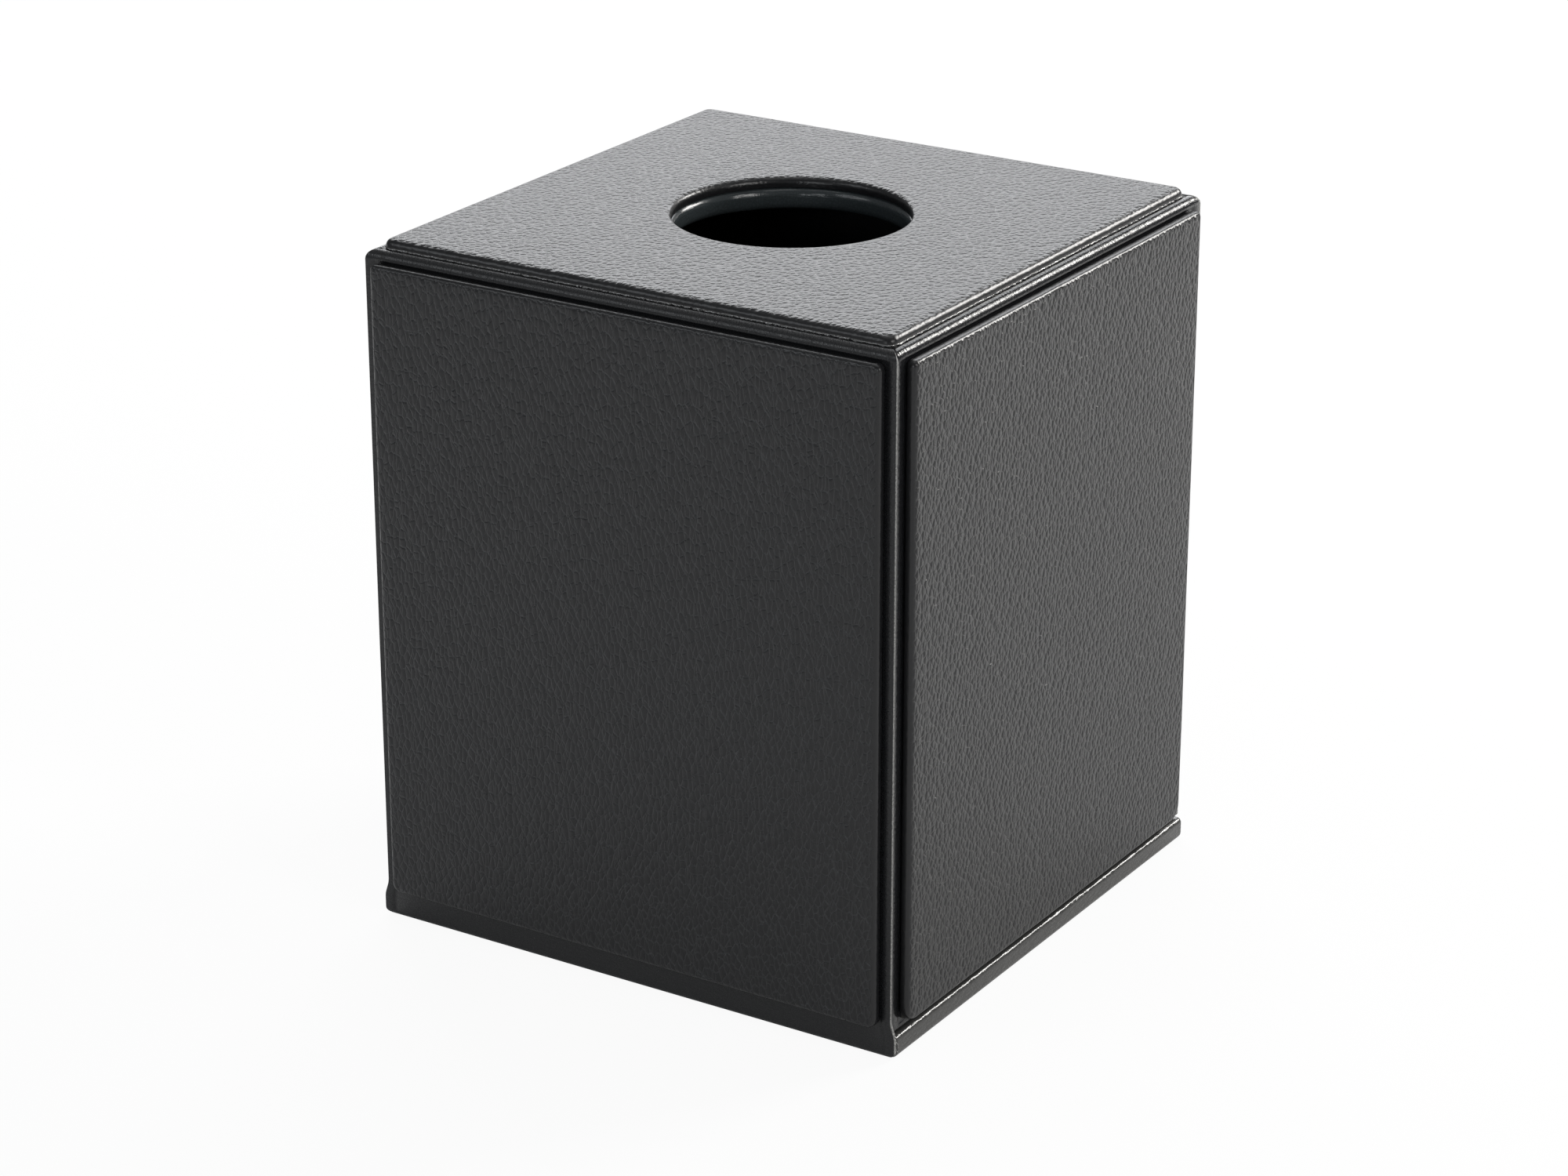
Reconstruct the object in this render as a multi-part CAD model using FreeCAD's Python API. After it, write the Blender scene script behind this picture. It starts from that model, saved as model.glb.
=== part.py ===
import FreeCAD, Part
import os

from FreeCAD import Vector

# Tissue box cover: a board box covered in leather, with raised leather panels, a round
# dispensing hole in the top and a base flap on a leather hinge along the front bottom edge.
# Millimetres. +Z is up, the front faces -Y, and the origin is under the middle of the base.

# Driving dimensions of the covered core
core_width = 126.0          # left to right, over the wall leather
core_depth = 126.0          # front to back, over the wall leather
core_height = 150.0         # floor to the top of the folded-over leather
core_edge_radius = 1.5      # rounding of the covered edges

# Sheet materials
leather = 0.8
wall_board = 3.4
lining = 0.8

# Leather turned over the board edges
top_fold = 14.0             # how far the wall leather reaches in over the top board
bottom_turn_in = 10.0       # how far it reaches up inside the walls
base_turn_in = 10.0         # how far the base leather reaches in over the base board

# Raised panels
panel_board = 1.0
side_pad = 0.7
top_pad = 0.4
panel_corner_radius = 2.0   # outline corners
panel_roll_radius = 1.5     # rolled rim
front_panel_margin = 2.4    # bare core beside the front and back panels
side_panel_margin = 3.5     # bare core beside the left and right panels
panel_top_margin = 2.4      # bare core above the side panels
panel_bottom_margin = 1.6   # bare core below the side panels
top_panel_margin = 2.4      # bare core round the top panel

# Dispensing hole
hole_diameter = 50.0        # through the top panel's leather
hole_roll_radius = 1.4      # rolled rim of the hole
collar_diameter = 49.0      # through the collar in the top board
collar_flange = 7.0         # flange of the collar on both faces of the top board
collar_edge_bevel = 0.7     # on the collar's two bent edges

# Base flap and its leather hinge
base_board = 3.2
base_overhang = 1.0         # base beyond the walls at the left, right and back
base_edge_radius = 1.2
base_corner_radius = 1.5
closed_gap = 0.4            # between the base and the bottom edge of the walls
hinge_lap = 0.4             # how far the hinge strip laps down over the base board's edge
skive_radius = 0.35         # groove that thins the hinge leather on its fold line

# Magnetic catch at the back edge
magnet_length = 12.0
wall_magnet_width = 2.4
wall_magnet_height = 2.5
base_magnet_width = 4.0
base_magnet_height = 2.0
magnet_spacing = 70.0       # between the two magnets of a row
magnet_clearance = 0.1      # round each magnet in its pocket

# Heights and half sizes that follow from these
half_width = core_width / 2
half_depth = core_depth / 2
base_top = leather + base_board + leather
wall_bottom = base_top + closed_gap
board_bottom = wall_bottom + leather
board_top = core_height - leather
top_board_under = board_top - wall_board
ceiling = top_board_under - lining
side_stack = panel_board + side_pad + leather
top_stack = panel_board + top_pad + leather
panel_top = core_height - panel_top_margin
panel_bottom = wall_bottom + panel_bottom_margin
wall_thickness = leather + wall_board + lining
hinge_y = -(half_depth - leather)
hinge_z = (base_top + wall_bottom) / 2
hinge_bottom = leather + base_board - hinge_lap
magnet_y = half_depth - leather - wall_board / 2

# Each side's turn about Z from the front
SIDES = {"front": 0, "right": 90, "back": 180, "left": 270}


def save(shape, node):
    """Write one node, refusing anything but sound solids."""
    if not shape.isValid() or not shape.Solids:
        raise RuntimeError(node + " is not a valid solid")
    shape.exportStep(os.path.join("parts", node + ".step"))


def one_solid(shape):
    """The single clean solid that a boolean left."""
    shape = shape.removeSplitter()
    if len(shape.Solids) != 1:
        raise RuntimeError("expected one solid, got %d" % len(shape.Solids))
    return shape.Solids[0]


def block(x0, x1, y0, y1, z0, z1):
    return Part.makeBox(x1 - x0, y1 - y0, z1 - z0, Vector(x0, y0, z0))


def inset_block(inset, z0, z1):
    """Block of the core's outline, drawn in by inset on all four sides."""
    x = half_width - inset
    y = half_depth - inset
    return block(-x, x, -y, y, z0, z1)


def drum(radius, z0, z1):
    return Part.makeCylinder(radius, z1 - z0, Vector(0, 0, z0))


def along(edge, axis):
    """Whether a straight edge runs along axis 0, 1 or 2."""
    direction = edge.Vertexes[-1].Point - edge.Vertexes[0].Point
    return direction.Length > 0 and abs(direction[axis]) > 0.999 * direction.Length


def level(edge, axis, value):
    """Whether an edge lies in the plane where the coordinate on axis has this value."""
    return all(abs(v.Point[axis] - value) < 1e-6 for v in edge.Vertexes)


def round_edge(edge, radius):
    """Whether an edge is a circle of this radius."""
    return isinstance(edge.Curve, Part.Circle) and abs(edge.Curve.Radius - radius) < 1e-6


def fillet(shape, radius, test):
    return shape.makeFillet(radius, [e for e in shape.Edges if test(e)])


def side_frame(side):
    """Half length of a wall and its distance from the middle, as seen facing that wall."""
    if side in ("front", "back"):
        return half_width, half_depth
    return half_depth, half_width


def turned(shape, side):
    """Turn a shape made on the front to its own side."""
    copy = shape.copy()
    copy.rotate(Vector(0, 0, 0), Vector(0, 0, 1), SIDES[side])
    return copy


def mitre(side):
    """Prism over one wall, cut at 45 degrees at both corners."""
    length, out = side_frame(side)
    reach = max(top_fold, wall_thickness)
    outline = [
        Vector(-length, -out, 0),
        Vector(length, -out, 0),
        Vector(length - reach, reach - out, 0),
        Vector(-length + reach, reach - out, 0),
    ]
    face = Part.Face(Part.makePolygon(outline + outline[:1]))
    return turned(face.extrude(Vector(0, 0, core_height)), side)


# Covered core

def core_leather():
    """All the wall leather in one: outer skin, top fold and the turn-in under the walls."""
    skin = inset_block(0, wall_bottom, core_height)
    skin = fillet(skin, core_edge_radius, lambda e: along(e, 2) or level(e, 2, core_height))
    skin = skin.cut(inset_block(leather, board_bottom, board_top))
    skin = skin.cut(inset_block(top_fold, board_top, core_height))
    skin = skin.cut(inset_block(wall_thickness, wall_bottom, board_bottom))
    turn_in_top = wall_bottom + bottom_turn_in
    hem = inset_block(leather + wall_board, wall_bottom, turn_in_top)
    hem = hem.cut(inset_block(wall_thickness, wall_bottom, turn_in_top))
    return skin.fuse(hem)


def wall_leather(whole, side):
    """One wall's leather. The front one runs on as the hinge below its panel."""
    piece = whole.common(mitre(side))
    if side == "front":
        length, out = side_frame(side)
        piece = piece.cut(block(-length, length, -out, -out + leather, 0, panel_bottom))
        piece = piece.cut(block(-length, length, -out + leather, 0, 0, board_top))
    return one_solid(piece)


def wall_board_of(side):
    """Wall board. The front and back ones run the full width, the others butt between them."""
    length, out = side_frame(side)
    end = leather if side in ("front", "back") else leather + wall_board
    board = block(-length + end, length - end, -out + leather, -out + leather + wall_board,
                  board_bottom, top_board_under)
    board = turned(board, side)
    if side == "back":
        for pocket in wall_magnet_bars(magnet_clearance):
            board = board.cut(pocket)
    return one_solid(board)


def wall_lining_of(side):
    """Lining of one wall. On the front it also wraps the wall's lower edge."""
    length, out = side_frame(side)
    inside = out - leather - wall_board
    start = wall_bottom if side == "front" else wall_bottom + bottom_turn_in
    sheet = block(-length, length, -inside, -inside + lining, start, ceiling)
    if side == "front":
        sheet = sheet.fuse(block(-length, length, -out + leather, -inside, wall_bottom, board_bottom))
    return one_solid(turned(sheet, side).common(mitre(side)))


def top_board():
    board = inset_block(leather, top_board_under, board_top)
    return one_solid(board.cut(drum(collar_diameter / 2 + leather, 0, core_height)))


def top_infill_card():
    """Card that levels the top between the folded leather and the collar's flange."""
    card = inset_block(top_fold, board_top, core_height)
    return one_solid(card.cut(drum(collar_diameter / 2 + collar_flange, 0, core_height)))


def top_lining():
    sheet = inset_block(leather + wall_board, ceiling, top_board_under)
    return one_solid(sheet.cut(drum(collar_diameter / 2 + collar_flange, 0, core_height)))


def hole_collar():
    """Leather ring that lines the hole and is turned flat onto both faces of the top board."""
    bore = collar_diameter / 2
    under = top_board_under - leather
    ring = drum(bore + collar_flange, under, core_height).cut(drum(bore, under, core_height))
    ring = ring.makeChamfer(collar_edge_bevel, [e for e in ring.Edges if round_edge(e, bore)])
    seat = drum(bore + collar_flange, top_board_under, board_top)
    return one_solid(ring.cut(seat.cut(drum(bore + leather, top_board_under, board_top))))


# Raised panels, made on the front and turned to their side

def side_panel_block(side, inset, depth_in, depth_out):
    """Block in a side panel's outline, from depth_in to depth_out beyond the wall leather."""
    length, out = side_frame(side)
    margin = front_panel_margin if side in ("front", "back") else side_panel_margin
    half = length - margin - inset
    return block(-half, half, -out - depth_out, -out - depth_in, panel_bottom + inset, panel_top - inset)


def side_panel(side):
    """Square-cut board and pad of one side panel, and the leather rolled over them."""
    length, out = side_frame(side)
    board = side_panel_block(side, leather, 0, panel_board)
    pad = side_panel_block(side, leather, panel_board, panel_board + side_pad)
    cover = side_panel_block(side, 0, 0, side_stack)
    cover = fillet(cover, panel_corner_radius, lambda e: along(e, 1))
    cover = fillet(cover, panel_roll_radius, lambda e: level(e, 1, -out - side_stack))
    cover = cover.cut(side_panel_block(side, leather, 0, panel_board + side_pad))
    return {
        side + "_panel_board": one_solid(turned(board, side)),
        side + "_panel_pad": one_solid(turned(pad, side)),
        side + "_panel_leather": one_solid(turned(cover, side)),
    }


def top_panel_block(inset, low, high, corner=0.0):
    """Block in the top panel's outline with its hole, inset from the leather's own outline."""
    shape = inset_block(top_panel_margin + inset, core_height + low, core_height + high)
    if corner:
        shape = fillet(shape, corner, lambda e: along(e, 2))
    return shape.cut(drum(hole_diameter / 2 + inset, core_height + low, core_height + high))


def top_panel():
    """Square-cut board and pad of the top panel, and the leather rolled over them and the hole."""
    board = top_panel_block(leather, 0, panel_board)
    pad = top_panel_block(leather, panel_board, panel_board + top_pad)
    cover = top_panel_block(0, 0, top_stack, panel_corner_radius)
    face = core_height + top_stack
    hole = hole_diameter / 2
    cover = fillet(cover, panel_roll_radius, lambda e: level(e, 2, face) and not round_edge(e, hole))
    cover = fillet(cover, hole_roll_radius, lambda e: level(e, 2, face) and round_edge(e, hole))
    cover = cover.cut(top_panel_block(leather, 0, panel_board + top_pad))
    return {
        "top_panel_board": one_solid(board),
        "top_panel_pad": one_solid(pad),
        "top_panel_leather": one_solid(cover),
    }


# Base flap

def base_block(inset, z0, z1):
    """Block of the base's outline: flush with the front wall, overhanging the other three."""
    x = half_width + base_overhang - inset
    return block(-x, x, -half_depth + inset, half_depth + base_overhang - inset, z0, z1)


def base_board_piece():
    board = base_block(leather, leather, leather + base_board)
    for pocket in base_magnet_bars(magnet_clearance):
        board = board.cut(pocket)
    return one_solid(board)


def base_leather():
    """Covering of the base with its turn-in. The hinge strip takes the top of the front edge."""
    front = -half_depth
    cover = base_block(0, 0, base_top)
    cover = fillet(cover, base_corner_radius, lambda e: along(e, 2))
    cover = fillet(cover, base_edge_radius, lambda e: level(e, 2, 0) or level(e, 2, base_top))
    cover = cover.cut(base_block(leather, leather, leather + base_board))
    cover = cover.cut(base_block(leather + base_turn_in, leather + base_board, base_top))
    reach = half_width + base_overhang
    return one_solid(cover.cut(block(-reach, reach, front, front + leather, hinge_bottom, base_top)))


def base_lining():
    return one_solid(base_block(leather + base_turn_in, leather + base_board, base_top))


def hinge_leather():
    """Strip from the front wall's leather to the base's front edge, thinned on its fold line."""
    front = -half_depth
    wide = half_width + base_overhang - base_corner_radius
    narrow = half_width - core_edge_radius
    outline = [
        Vector(-wide, front, hinge_bottom),
        Vector(wide, front, hinge_bottom),
        Vector(narrow, front, panel_bottom),
        Vector(-narrow, front, panel_bottom),
    ]
    face = Part.Face(Part.makePolygon(outline + outline[:1]))
    strip = face.extrude(Vector(0, leather, 0))
    groove = Part.makeCylinder(skive_radius, 2 * wide, Vector(-wide, hinge_y, hinge_z), Vector(1, 0, 0))
    return one_solid(strip.cut(groove))


# Magnetic catch

def magnet_bars(width, z0, z1, clearance):
    """The two bars of one row, or their pockets when given a clearance."""
    bars = []
    for x in (-magnet_spacing / 2, magnet_spacing / 2):
        half = magnet_length / 2 + clearance
        side = width / 2 + clearance
        bars.append(block(x - half, x + half, magnet_y - side, magnet_y + side, z0, z1))
    return bars


def wall_magnet_bars(clearance=0.0):
    """Bars let into the lower edge of the back wall's board."""
    top = board_bottom + wall_magnet_height + clearance
    return magnet_bars(wall_magnet_width, board_bottom, top, clearance)


def base_magnet_bars(clearance=0.0):
    """Bars let into the upper face of the base board, under the wall's bars."""
    top = leather + base_board
    return magnet_bars(base_magnet_width, top - base_magnet_height - clearance, top, clearance)


def build():
    """Every node of the cover, by name."""
    nodes = {}
    whole = core_leather()
    for side in SIDES:
        nodes[side + "_wall_board"] = wall_board_of(side)
        nodes[side + "_wall_leather"] = wall_leather(whole, side)
        nodes[side + "_wall_lining"] = wall_lining_of(side)
        nodes.update(side_panel(side))
    nodes["top_board"] = top_board()
    nodes["top_infill_card"] = top_infill_card()
    nodes["top_lining"] = top_lining()
    nodes["hole_collar"] = hole_collar()
    nodes.update(top_panel())
    nodes["base_board"] = base_board_piece()
    nodes["base_leather"] = base_leather()
    nodes["base_lining"] = base_lining()
    nodes["hinge_leather"] = hinge_leather()
    nodes["wall_magnets"] = Part.makeCompound(wall_magnet_bars())
    nodes["base_magnets"] = Part.makeCompound(base_magnet_bars())
    return nodes


os.makedirs("parts", exist_ok=True)
for name, shape in build().items():
    save(shape, name)
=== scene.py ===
import math

import bmesh
import bpy
from mathutils import Matrix, Vector, noise


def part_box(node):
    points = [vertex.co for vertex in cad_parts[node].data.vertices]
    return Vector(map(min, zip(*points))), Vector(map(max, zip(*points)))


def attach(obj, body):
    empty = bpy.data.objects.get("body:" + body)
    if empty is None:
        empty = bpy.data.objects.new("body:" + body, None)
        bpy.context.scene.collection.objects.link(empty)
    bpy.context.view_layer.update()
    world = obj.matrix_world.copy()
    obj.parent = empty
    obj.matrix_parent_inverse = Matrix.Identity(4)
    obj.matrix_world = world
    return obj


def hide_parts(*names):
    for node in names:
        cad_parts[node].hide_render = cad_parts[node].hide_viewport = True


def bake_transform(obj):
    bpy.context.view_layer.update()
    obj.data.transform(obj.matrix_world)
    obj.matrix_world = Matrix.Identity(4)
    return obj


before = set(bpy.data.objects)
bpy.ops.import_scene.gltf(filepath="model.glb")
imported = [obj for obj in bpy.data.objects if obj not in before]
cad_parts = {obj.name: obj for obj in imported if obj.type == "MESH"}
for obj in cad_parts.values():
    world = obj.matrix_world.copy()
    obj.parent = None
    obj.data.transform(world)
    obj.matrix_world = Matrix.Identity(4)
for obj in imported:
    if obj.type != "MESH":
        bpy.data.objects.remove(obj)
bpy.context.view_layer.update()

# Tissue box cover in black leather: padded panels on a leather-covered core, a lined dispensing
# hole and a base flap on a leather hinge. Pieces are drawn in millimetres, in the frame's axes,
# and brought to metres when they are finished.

MM = 0.001


def box_mm(node):
    """Lowest and highest corner of a node, in millimetres."""
    low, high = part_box(node)
    return low / MM, high / MM


# Sizes that come from the frame
wall_low, wall_high = box_mm("back_wall_leather")
half_core = wall_high.y
core_top = wall_high.z
wall_bottom = wall_low.z
fold_edge = wall_low.y
leather = core_top - box_mm("top_board")[1].z
hem_top = box_mm("right_wall_lining")[0].z
inside = box_mm("right_wall_lining")[0].x
base_low, base_high = box_mm("base_leather")
base_lining_low, base_lining_high = box_mm("base_lining")
top_low, top_high = box_mm("top_panel_leather")
panel_board = box_mm("top_panel_board")[1].z - core_top
collar_low, collar_high = box_mm("hole_collar")

# Sides of the box, with their turn from the front in degrees
SIDES = {"front": 0, "right": 90, "back": 180, "left": 270}
FRONT_AND_BACK = ("front", "back")

# Padded panels
UPPER_CORNER = 1.3              # upper outline corners of the side panels
LOWER_CORNER = {"front": 2.0, "right": 3.6, "back": 2.0, "left": 3.6}
PANEL_MESH = 4.0                # pitch of a side panel's mesh, wider than its corners are round
PANEL_ROLL = 1.2                # rolled rim of the side panels
PANEL_TUCK = 0.5                # rim drawn in against the wall
PANEL_CROWN = 0.22              # rise of the padding towards the middle
PANEL_UNEVEN = 0.05             # slight unevenness of the padding
UNEVEN_LUMP = 22.0              # and the size of its lumps
RECESS_TAPER = 0.02             # sides of the recess behind a panel, where its board lies
RIM_MARK = (-0.05, 0.25)        # depths where the rim's finish starts, and is full as a share of the roll
TOP_CORNER = 2.3                # outline corners of the top panel
TOP_ROLL = 1.9                  # rolled rim of the top panel
HOLE_RADIUS = 25.0              # through the top panel
HOLE_ROLL = 1.4                 # rolled rim of the hole

# Bead of edge dressing under the top panel: its outline as distances out and up
BEAD_OUTLINE = [(-0.2, 0.0), (0.15, 0.0), (0.34, 0.15), (0.40, 0.32), (0.28, 0.48), (-0.2, 0.60)]
BEAD_SEAT = 0.25                # depth that it is sunk in the core's top
BEAD_SHARE = 0.45               # share of its outline's width that it has on average
BEAD_SWING = 0.9                # change of that share from drop to drop
BEAD_DROP = 1.1                 # length of a drop
BEAD_CUTS = 260                 # cuts along each side

# Core leather
CORE_ROUND = 2.0                # rounded upper edges of the covered core
HEM_ROUND = 0.7                 # leather turned under the walls
WALL_MESH = 5.0                 # pitch of a wall leather's mesh
WALL_MARGIN = 1.0               # plain stretch of it inside a panel's edge
FOOT_MARGIN = 3.0               # and above the panel's lower edge
GROOVE = 0.32                   # core leather pressed in beside the panels
GROOVE_FALL = (-0.8, -0.1)      # distances outside a panel's edge between which the groove deepens
GROOVE_RISE = (0.0, 0.6)        # and between which it ends
GROOVE_CUTS = (*GROOVE_FALL, 0.3, GROOVE_RISE[1])
SEAM_SHOWN = 0.25               # part of the front leather's cut edge that the side leather leaves open
SIDE_END = (0.45, 0.6)          # width and drop of the side leather's end, tucked behind the seam
FLAT_END = (0.7, 0.0)           # width and drop of the front and back leathers' ends, which lie flat
END_CUTS = (0.08, 0.2, 0.4, 0.65, 1.0)      # cuts across an end, as shares of its width

# Hinge strip, with heights above the base's underside
STRIP_LAP = 3.0                 # front leather carried on under the base
STRIP_ROUND = 1.6               # lower corners of the strip
STRIP_FLARE = (4.0, 8.4)        # heights between which the strip widens to the base
STRIP_CUTS = (0.4, 0.8, 1.6, 2.2, 2.8, 3.4, 3.9, 4.4, 4.8, 5.2, 5.6, 6.2, 7.4, 8.4)

# Open ends of the hinge strip's fold, almonds drawn from a circle of radius 1
FOLD_LIP = 0.26                 # width of the cut leather round the hollow
FOLD_HOLLOW = 0.9               # depth of the hollow
FOLD_HOLLOW_TAPER = 0.05
FOLD_DEPTH = 0.8                # depth of the almond's outside
FOLD_WIDTH = 0.62
FOLD_HEIGHT = 1.35
FOLD_PINCH = (0.75, 2.2)        # amount and power of the narrowing towards both tips
FOLD_LEAN = 0.24
FOLD_PROUD = 0.04               # stands out from the base's side
FOLD_FROM_FRONT = 1.15
FOLD_MIDDLE = 2.55              # height of its middle

# Hole collar
COLLAR_BORE = 24.5              # radius through the collar
COLLAR_BEND = 1.8               # its two bent edges
COLLAR_STEPS = 128
COLLAR_RUFFLE = 0.004           # unevenness, as a share of the radius
RUFFLE_PITCH = 6                # lumps of it along an arc as long as the radius
RUFFLE_HEIGHT = 30              # height that counts as a radius for it

# Base flap and linings
BASE_CORNER = 1.5
BASE_EDGE = 1.2
BASE_OPENING = 1.2              # base leather held back from the front, where the hinge strip covers it
LINING_EDGE = 0.3
LINING_MESH = 8
CEILING_CORNER = 0.5

# Limits for finding faces and edges and for merging points
NEAR = 0.001
MERGE = 0.002
ON_FACE = 0.01
STRAIGHT = 0.99                 # part of a direction that lies along the axis it is tested on

ACROSS = Vector((1, 0, 0))
DEEP = Vector((0, 1, 0))
UP = Vector((0, 0, 1))


# Drawing helpers

def held_in(value, low, high):
    """The value, or the end of the range that it passes."""
    return max(low, min(high, value))


def smooth_step(low, high, value):
    """Smooth change from 0 to 1 between two levels."""
    share = held_in((value - low) / (high - low), 0.0, 1.0)
    return share * share * (3 - 2 * share)


def rounded(bm, edges, radius, steps):
    """Round these edges off."""
    bmesh.ops.bevel(bm, geom=edges, affect="EDGES", offset=radius, segments=steps, profile=0.5,
                    material=-1, clamp_overlap=True)


def rounded_corners(bm, verts, radius, steps):
    """Round off the corners of a flat outline."""
    bmesh.ops.bevel(bm, geom=verts, affect="VERTICES", offset=radius, segments=steps, profile=0.5,
                    material=-1, clamp_overlap=True)


def drawn_out(bm, edges, place):
    """Extrude open edges and put each new point where place says. Gives the new open edges."""
    made = bmesh.ops.extrude_edge_only(bm, edges=edges)["geom"]
    points = {item for item in made if isinstance(item, bmesh.types.BMVert)}
    for point in points:
        point.co = place(point.co)
    bm.normal_update()
    new_edges = [item for item in made if isinstance(item, bmesh.types.BMEdge)]
    return [edge for edge in new_edges if edge.is_boundary and set(edge.verts) <= points]


def cut(bm, point, direction, take_off=False):
    """Cut the mesh on a plane, and take off what lies beyond it if asked."""
    parts = bm.verts[:] + bm.edges[:] + bm.faces[:]
    bmesh.ops.bisect_plane(bm, geom=parts, dist=NEAR, plane_co=point, plane_no=direction,
                           clear_outer=take_off)


def sliced(bm, axis, places):
    """Cut the mesh across an axis at these places, so that it can bend there."""
    for place in places:
        cut(bm, axis * place, axis)


def block(low, high):
    """Plain block to shape further."""
    bm = bmesh.new()
    bmesh.ops.create_cube(bm, size=1.0)
    bmesh.ops.scale(bm, vec=high - low, verts=bm.verts)
    bmesh.ops.translate(bm, vec=(low + high) / 2, verts=bm.verts)
    return bm


def rounded_square(half, corner, cuts):
    """Flat square outline with rounded corners and with cuts along its straight sides."""
    bm = bmesh.new()
    bmesh.ops.create_grid(bm, x_segments=1, y_segments=1, size=half)
    rounded_corners(bm, bm.verts[:], corner, 6)
    bmesh.ops.delete(bm, geom=bm.faces[:], context="FACES_ONLY")
    bmesh.ops.subdivide_edges(bm, edges=[e for e in bm.edges if e.calc_length() > half], cuts=cuts)
    return bm


def square_ring(half, corner, hole, cuts, rings):
    """Flat ring between a square with rounded corners and a round hole."""
    bm = rounded_square(half, corner, cuts)
    bmesh.ops.create_circle(bm, cap_ends=False, segments=len(bm.edges), radius=hole)
    bmesh.ops.bridge_loops(bm, edges=bm.edges[:])
    across = [e for e in bm.edges if not e.is_boundary]
    bmesh.ops.subdivide_edges(bm, edges=across, cuts=rings, use_grid_fill=True)
    return bm


def open_edges(bm):
    """Edges with a face on one side only."""
    return [e for e in bm.edges if e.is_boundary]


def upright_edges(bm):
    """Edges that stand upright."""
    return [e for e in bm.edges if abs((e.verts[0].co - e.verts[1].co).normalized().z) > STRAIGHT]


def edges_at_height(bm, height):
    """Edges that lie level at this height."""
    return [e for e in bm.edges if all(abs(v.co.z - height) < NEAR for v in e.verts)]


def steps_between(low, high, pitch):
    """Evenly spaced places strictly between two ends, about a pitch apart."""
    count = max(2, round((high - low) / pitch))
    return [low + (high - low) * i / count for i in range(1, count)]


def made_piece(bm, name, finishes, crease=50):
    """Make a piece from a drawn shape. Bends of more degrees than the crease stay sharp."""
    bmesh.ops.remove_doubles(bm, verts=bm.verts, dist=MERGE)
    bmesh.ops.recalc_face_normals(bm, faces=bm.faces)
    bmesh.ops.scale(bm, vec=(MM, MM, MM), verts=bm.verts)
    mesh = bpy.data.meshes.new(name)
    bm.to_mesh(mesh)
    bm.free()
    mesh.shade_smooth()
    mesh.set_sharp_from_angle(angle=math.radians(crease))
    for finish in finishes:
        mesh.materials.append(finish)
    piece = bpy.data.objects.new(name, mesh)
    bpy.context.scene.collection.objects.link(piece)
    return piece


def leather_piece(bm, name, finish):
    """Make a piece of leather from its skin: its thickness goes inward and its cut edges show."""
    piece = made_piece(bm, name, [finish, cut_edge])
    wall = piece.modifiers.new("thickness", "SOLIDIFY")
    wall.thickness = leather * MM
    wall.offset = -1.0
    wall.use_even_offset = False
    wall.material_offset_rim = 1
    return piece


# Finish helpers

def add(tree, kind, settings=None, **inputs):
    """Add a shader node, with its settings and inputs. An input called i2 is the one numbered 2."""
    node = tree.nodes.new("ShaderNode" + kind)
    for name, value in (settings or {}).items():
        setattr(node, name, value)
    for name, value in inputs.items():
        key = int(name[1:]) if name[0] == "i" and name[1:].isdigit() else name.replace("_", " ")
        if isinstance(value, bpy.types.NodeSocket):
            tree.links.new(value, node.inputs[key])
        else:
            node.inputs[key].default_value = value
    return node


def new_finish(name):
    """An empty finish: its node tree, its shader and the coordinates of the piece itself."""
    finish = bpy.data.materials.new(name)
    finish.use_nodes = True
    tree = finish.node_tree
    tree.nodes.clear()
    shader = add(tree, "BsdfPrincipled")
    output = add(tree, "OutputMaterial")
    tree.links.new(shader.outputs["BSDF"], output.inputs["Surface"])
    place = add(tree, "TexCoord").outputs["Object"]
    return finish, tree, shader, place


def worked_out(tree, operation, first, second):
    """Value worked out from two others."""
    return add(tree, "Math", {"operation": operation}, i0=first, i1=second).outputs[0]


def moved(tree, operation, first, second):
    """Coordinates worked out from two others."""
    return add(tree, "VectorMath", {"operation": operation}, i0=first, i1=second).outputs[0]


def summed(tree, *weighted):
    """Sum of values, each with its weight."""
    total = None
    for value, weight in weighted:
        part = worked_out(tree, "MULTIPLY", value, weight)
        if total is not None:
            part = worked_out(tree, "ADD", total, part)
        total = part
    return total


def ramp(tree, value, low, high, to_low=0.0, to_high=1.0):
    """Smooth change of a value between two levels."""
    return add(tree, "MapRange", {"interpolation_type": "SMOOTHSTEP"}, Value=value, From_Min=low,
               From_Max=high, To_Min=to_low, To_Max=to_high).outputs["Result"]


def mixed_value(tree, share, low, high):
    """Value between two others, by a share."""
    return add(tree, "Mix", {"data_type": "FLOAT"}, i0=share, i2=low, i3=high).outputs[0]


def stretched(tree, place, cell):
    """Coordinates counted in cells of this size in millimetres."""
    scale = [1 / (size * MM) for size in cell]
    return add(tree, "Mapping", Vector=place, Scale=scale).outputs["Vector"]


def diamonds(tree, place, axes, width, height, tilt=45):
    """Flat coordinates on two axes, in leaning cells of this width and height in millimetres."""
    diagonal = 1.414
    parts = add(tree, "SeparateXYZ", Vector=place)
    flat = add(tree, "CombineXYZ", X=parts.outputs[axes[0]], Y=parts.outputs[axes[1]])
    scale = [1 / (width / diagonal * MM), 1 / (height / diagonal * MM), 1]
    return add(tree, "Mapping", Vector=flat.outputs[0], Scale=scale,
               Rotation=(0, 0, math.radians(tilt))).outputs["Vector"]


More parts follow.
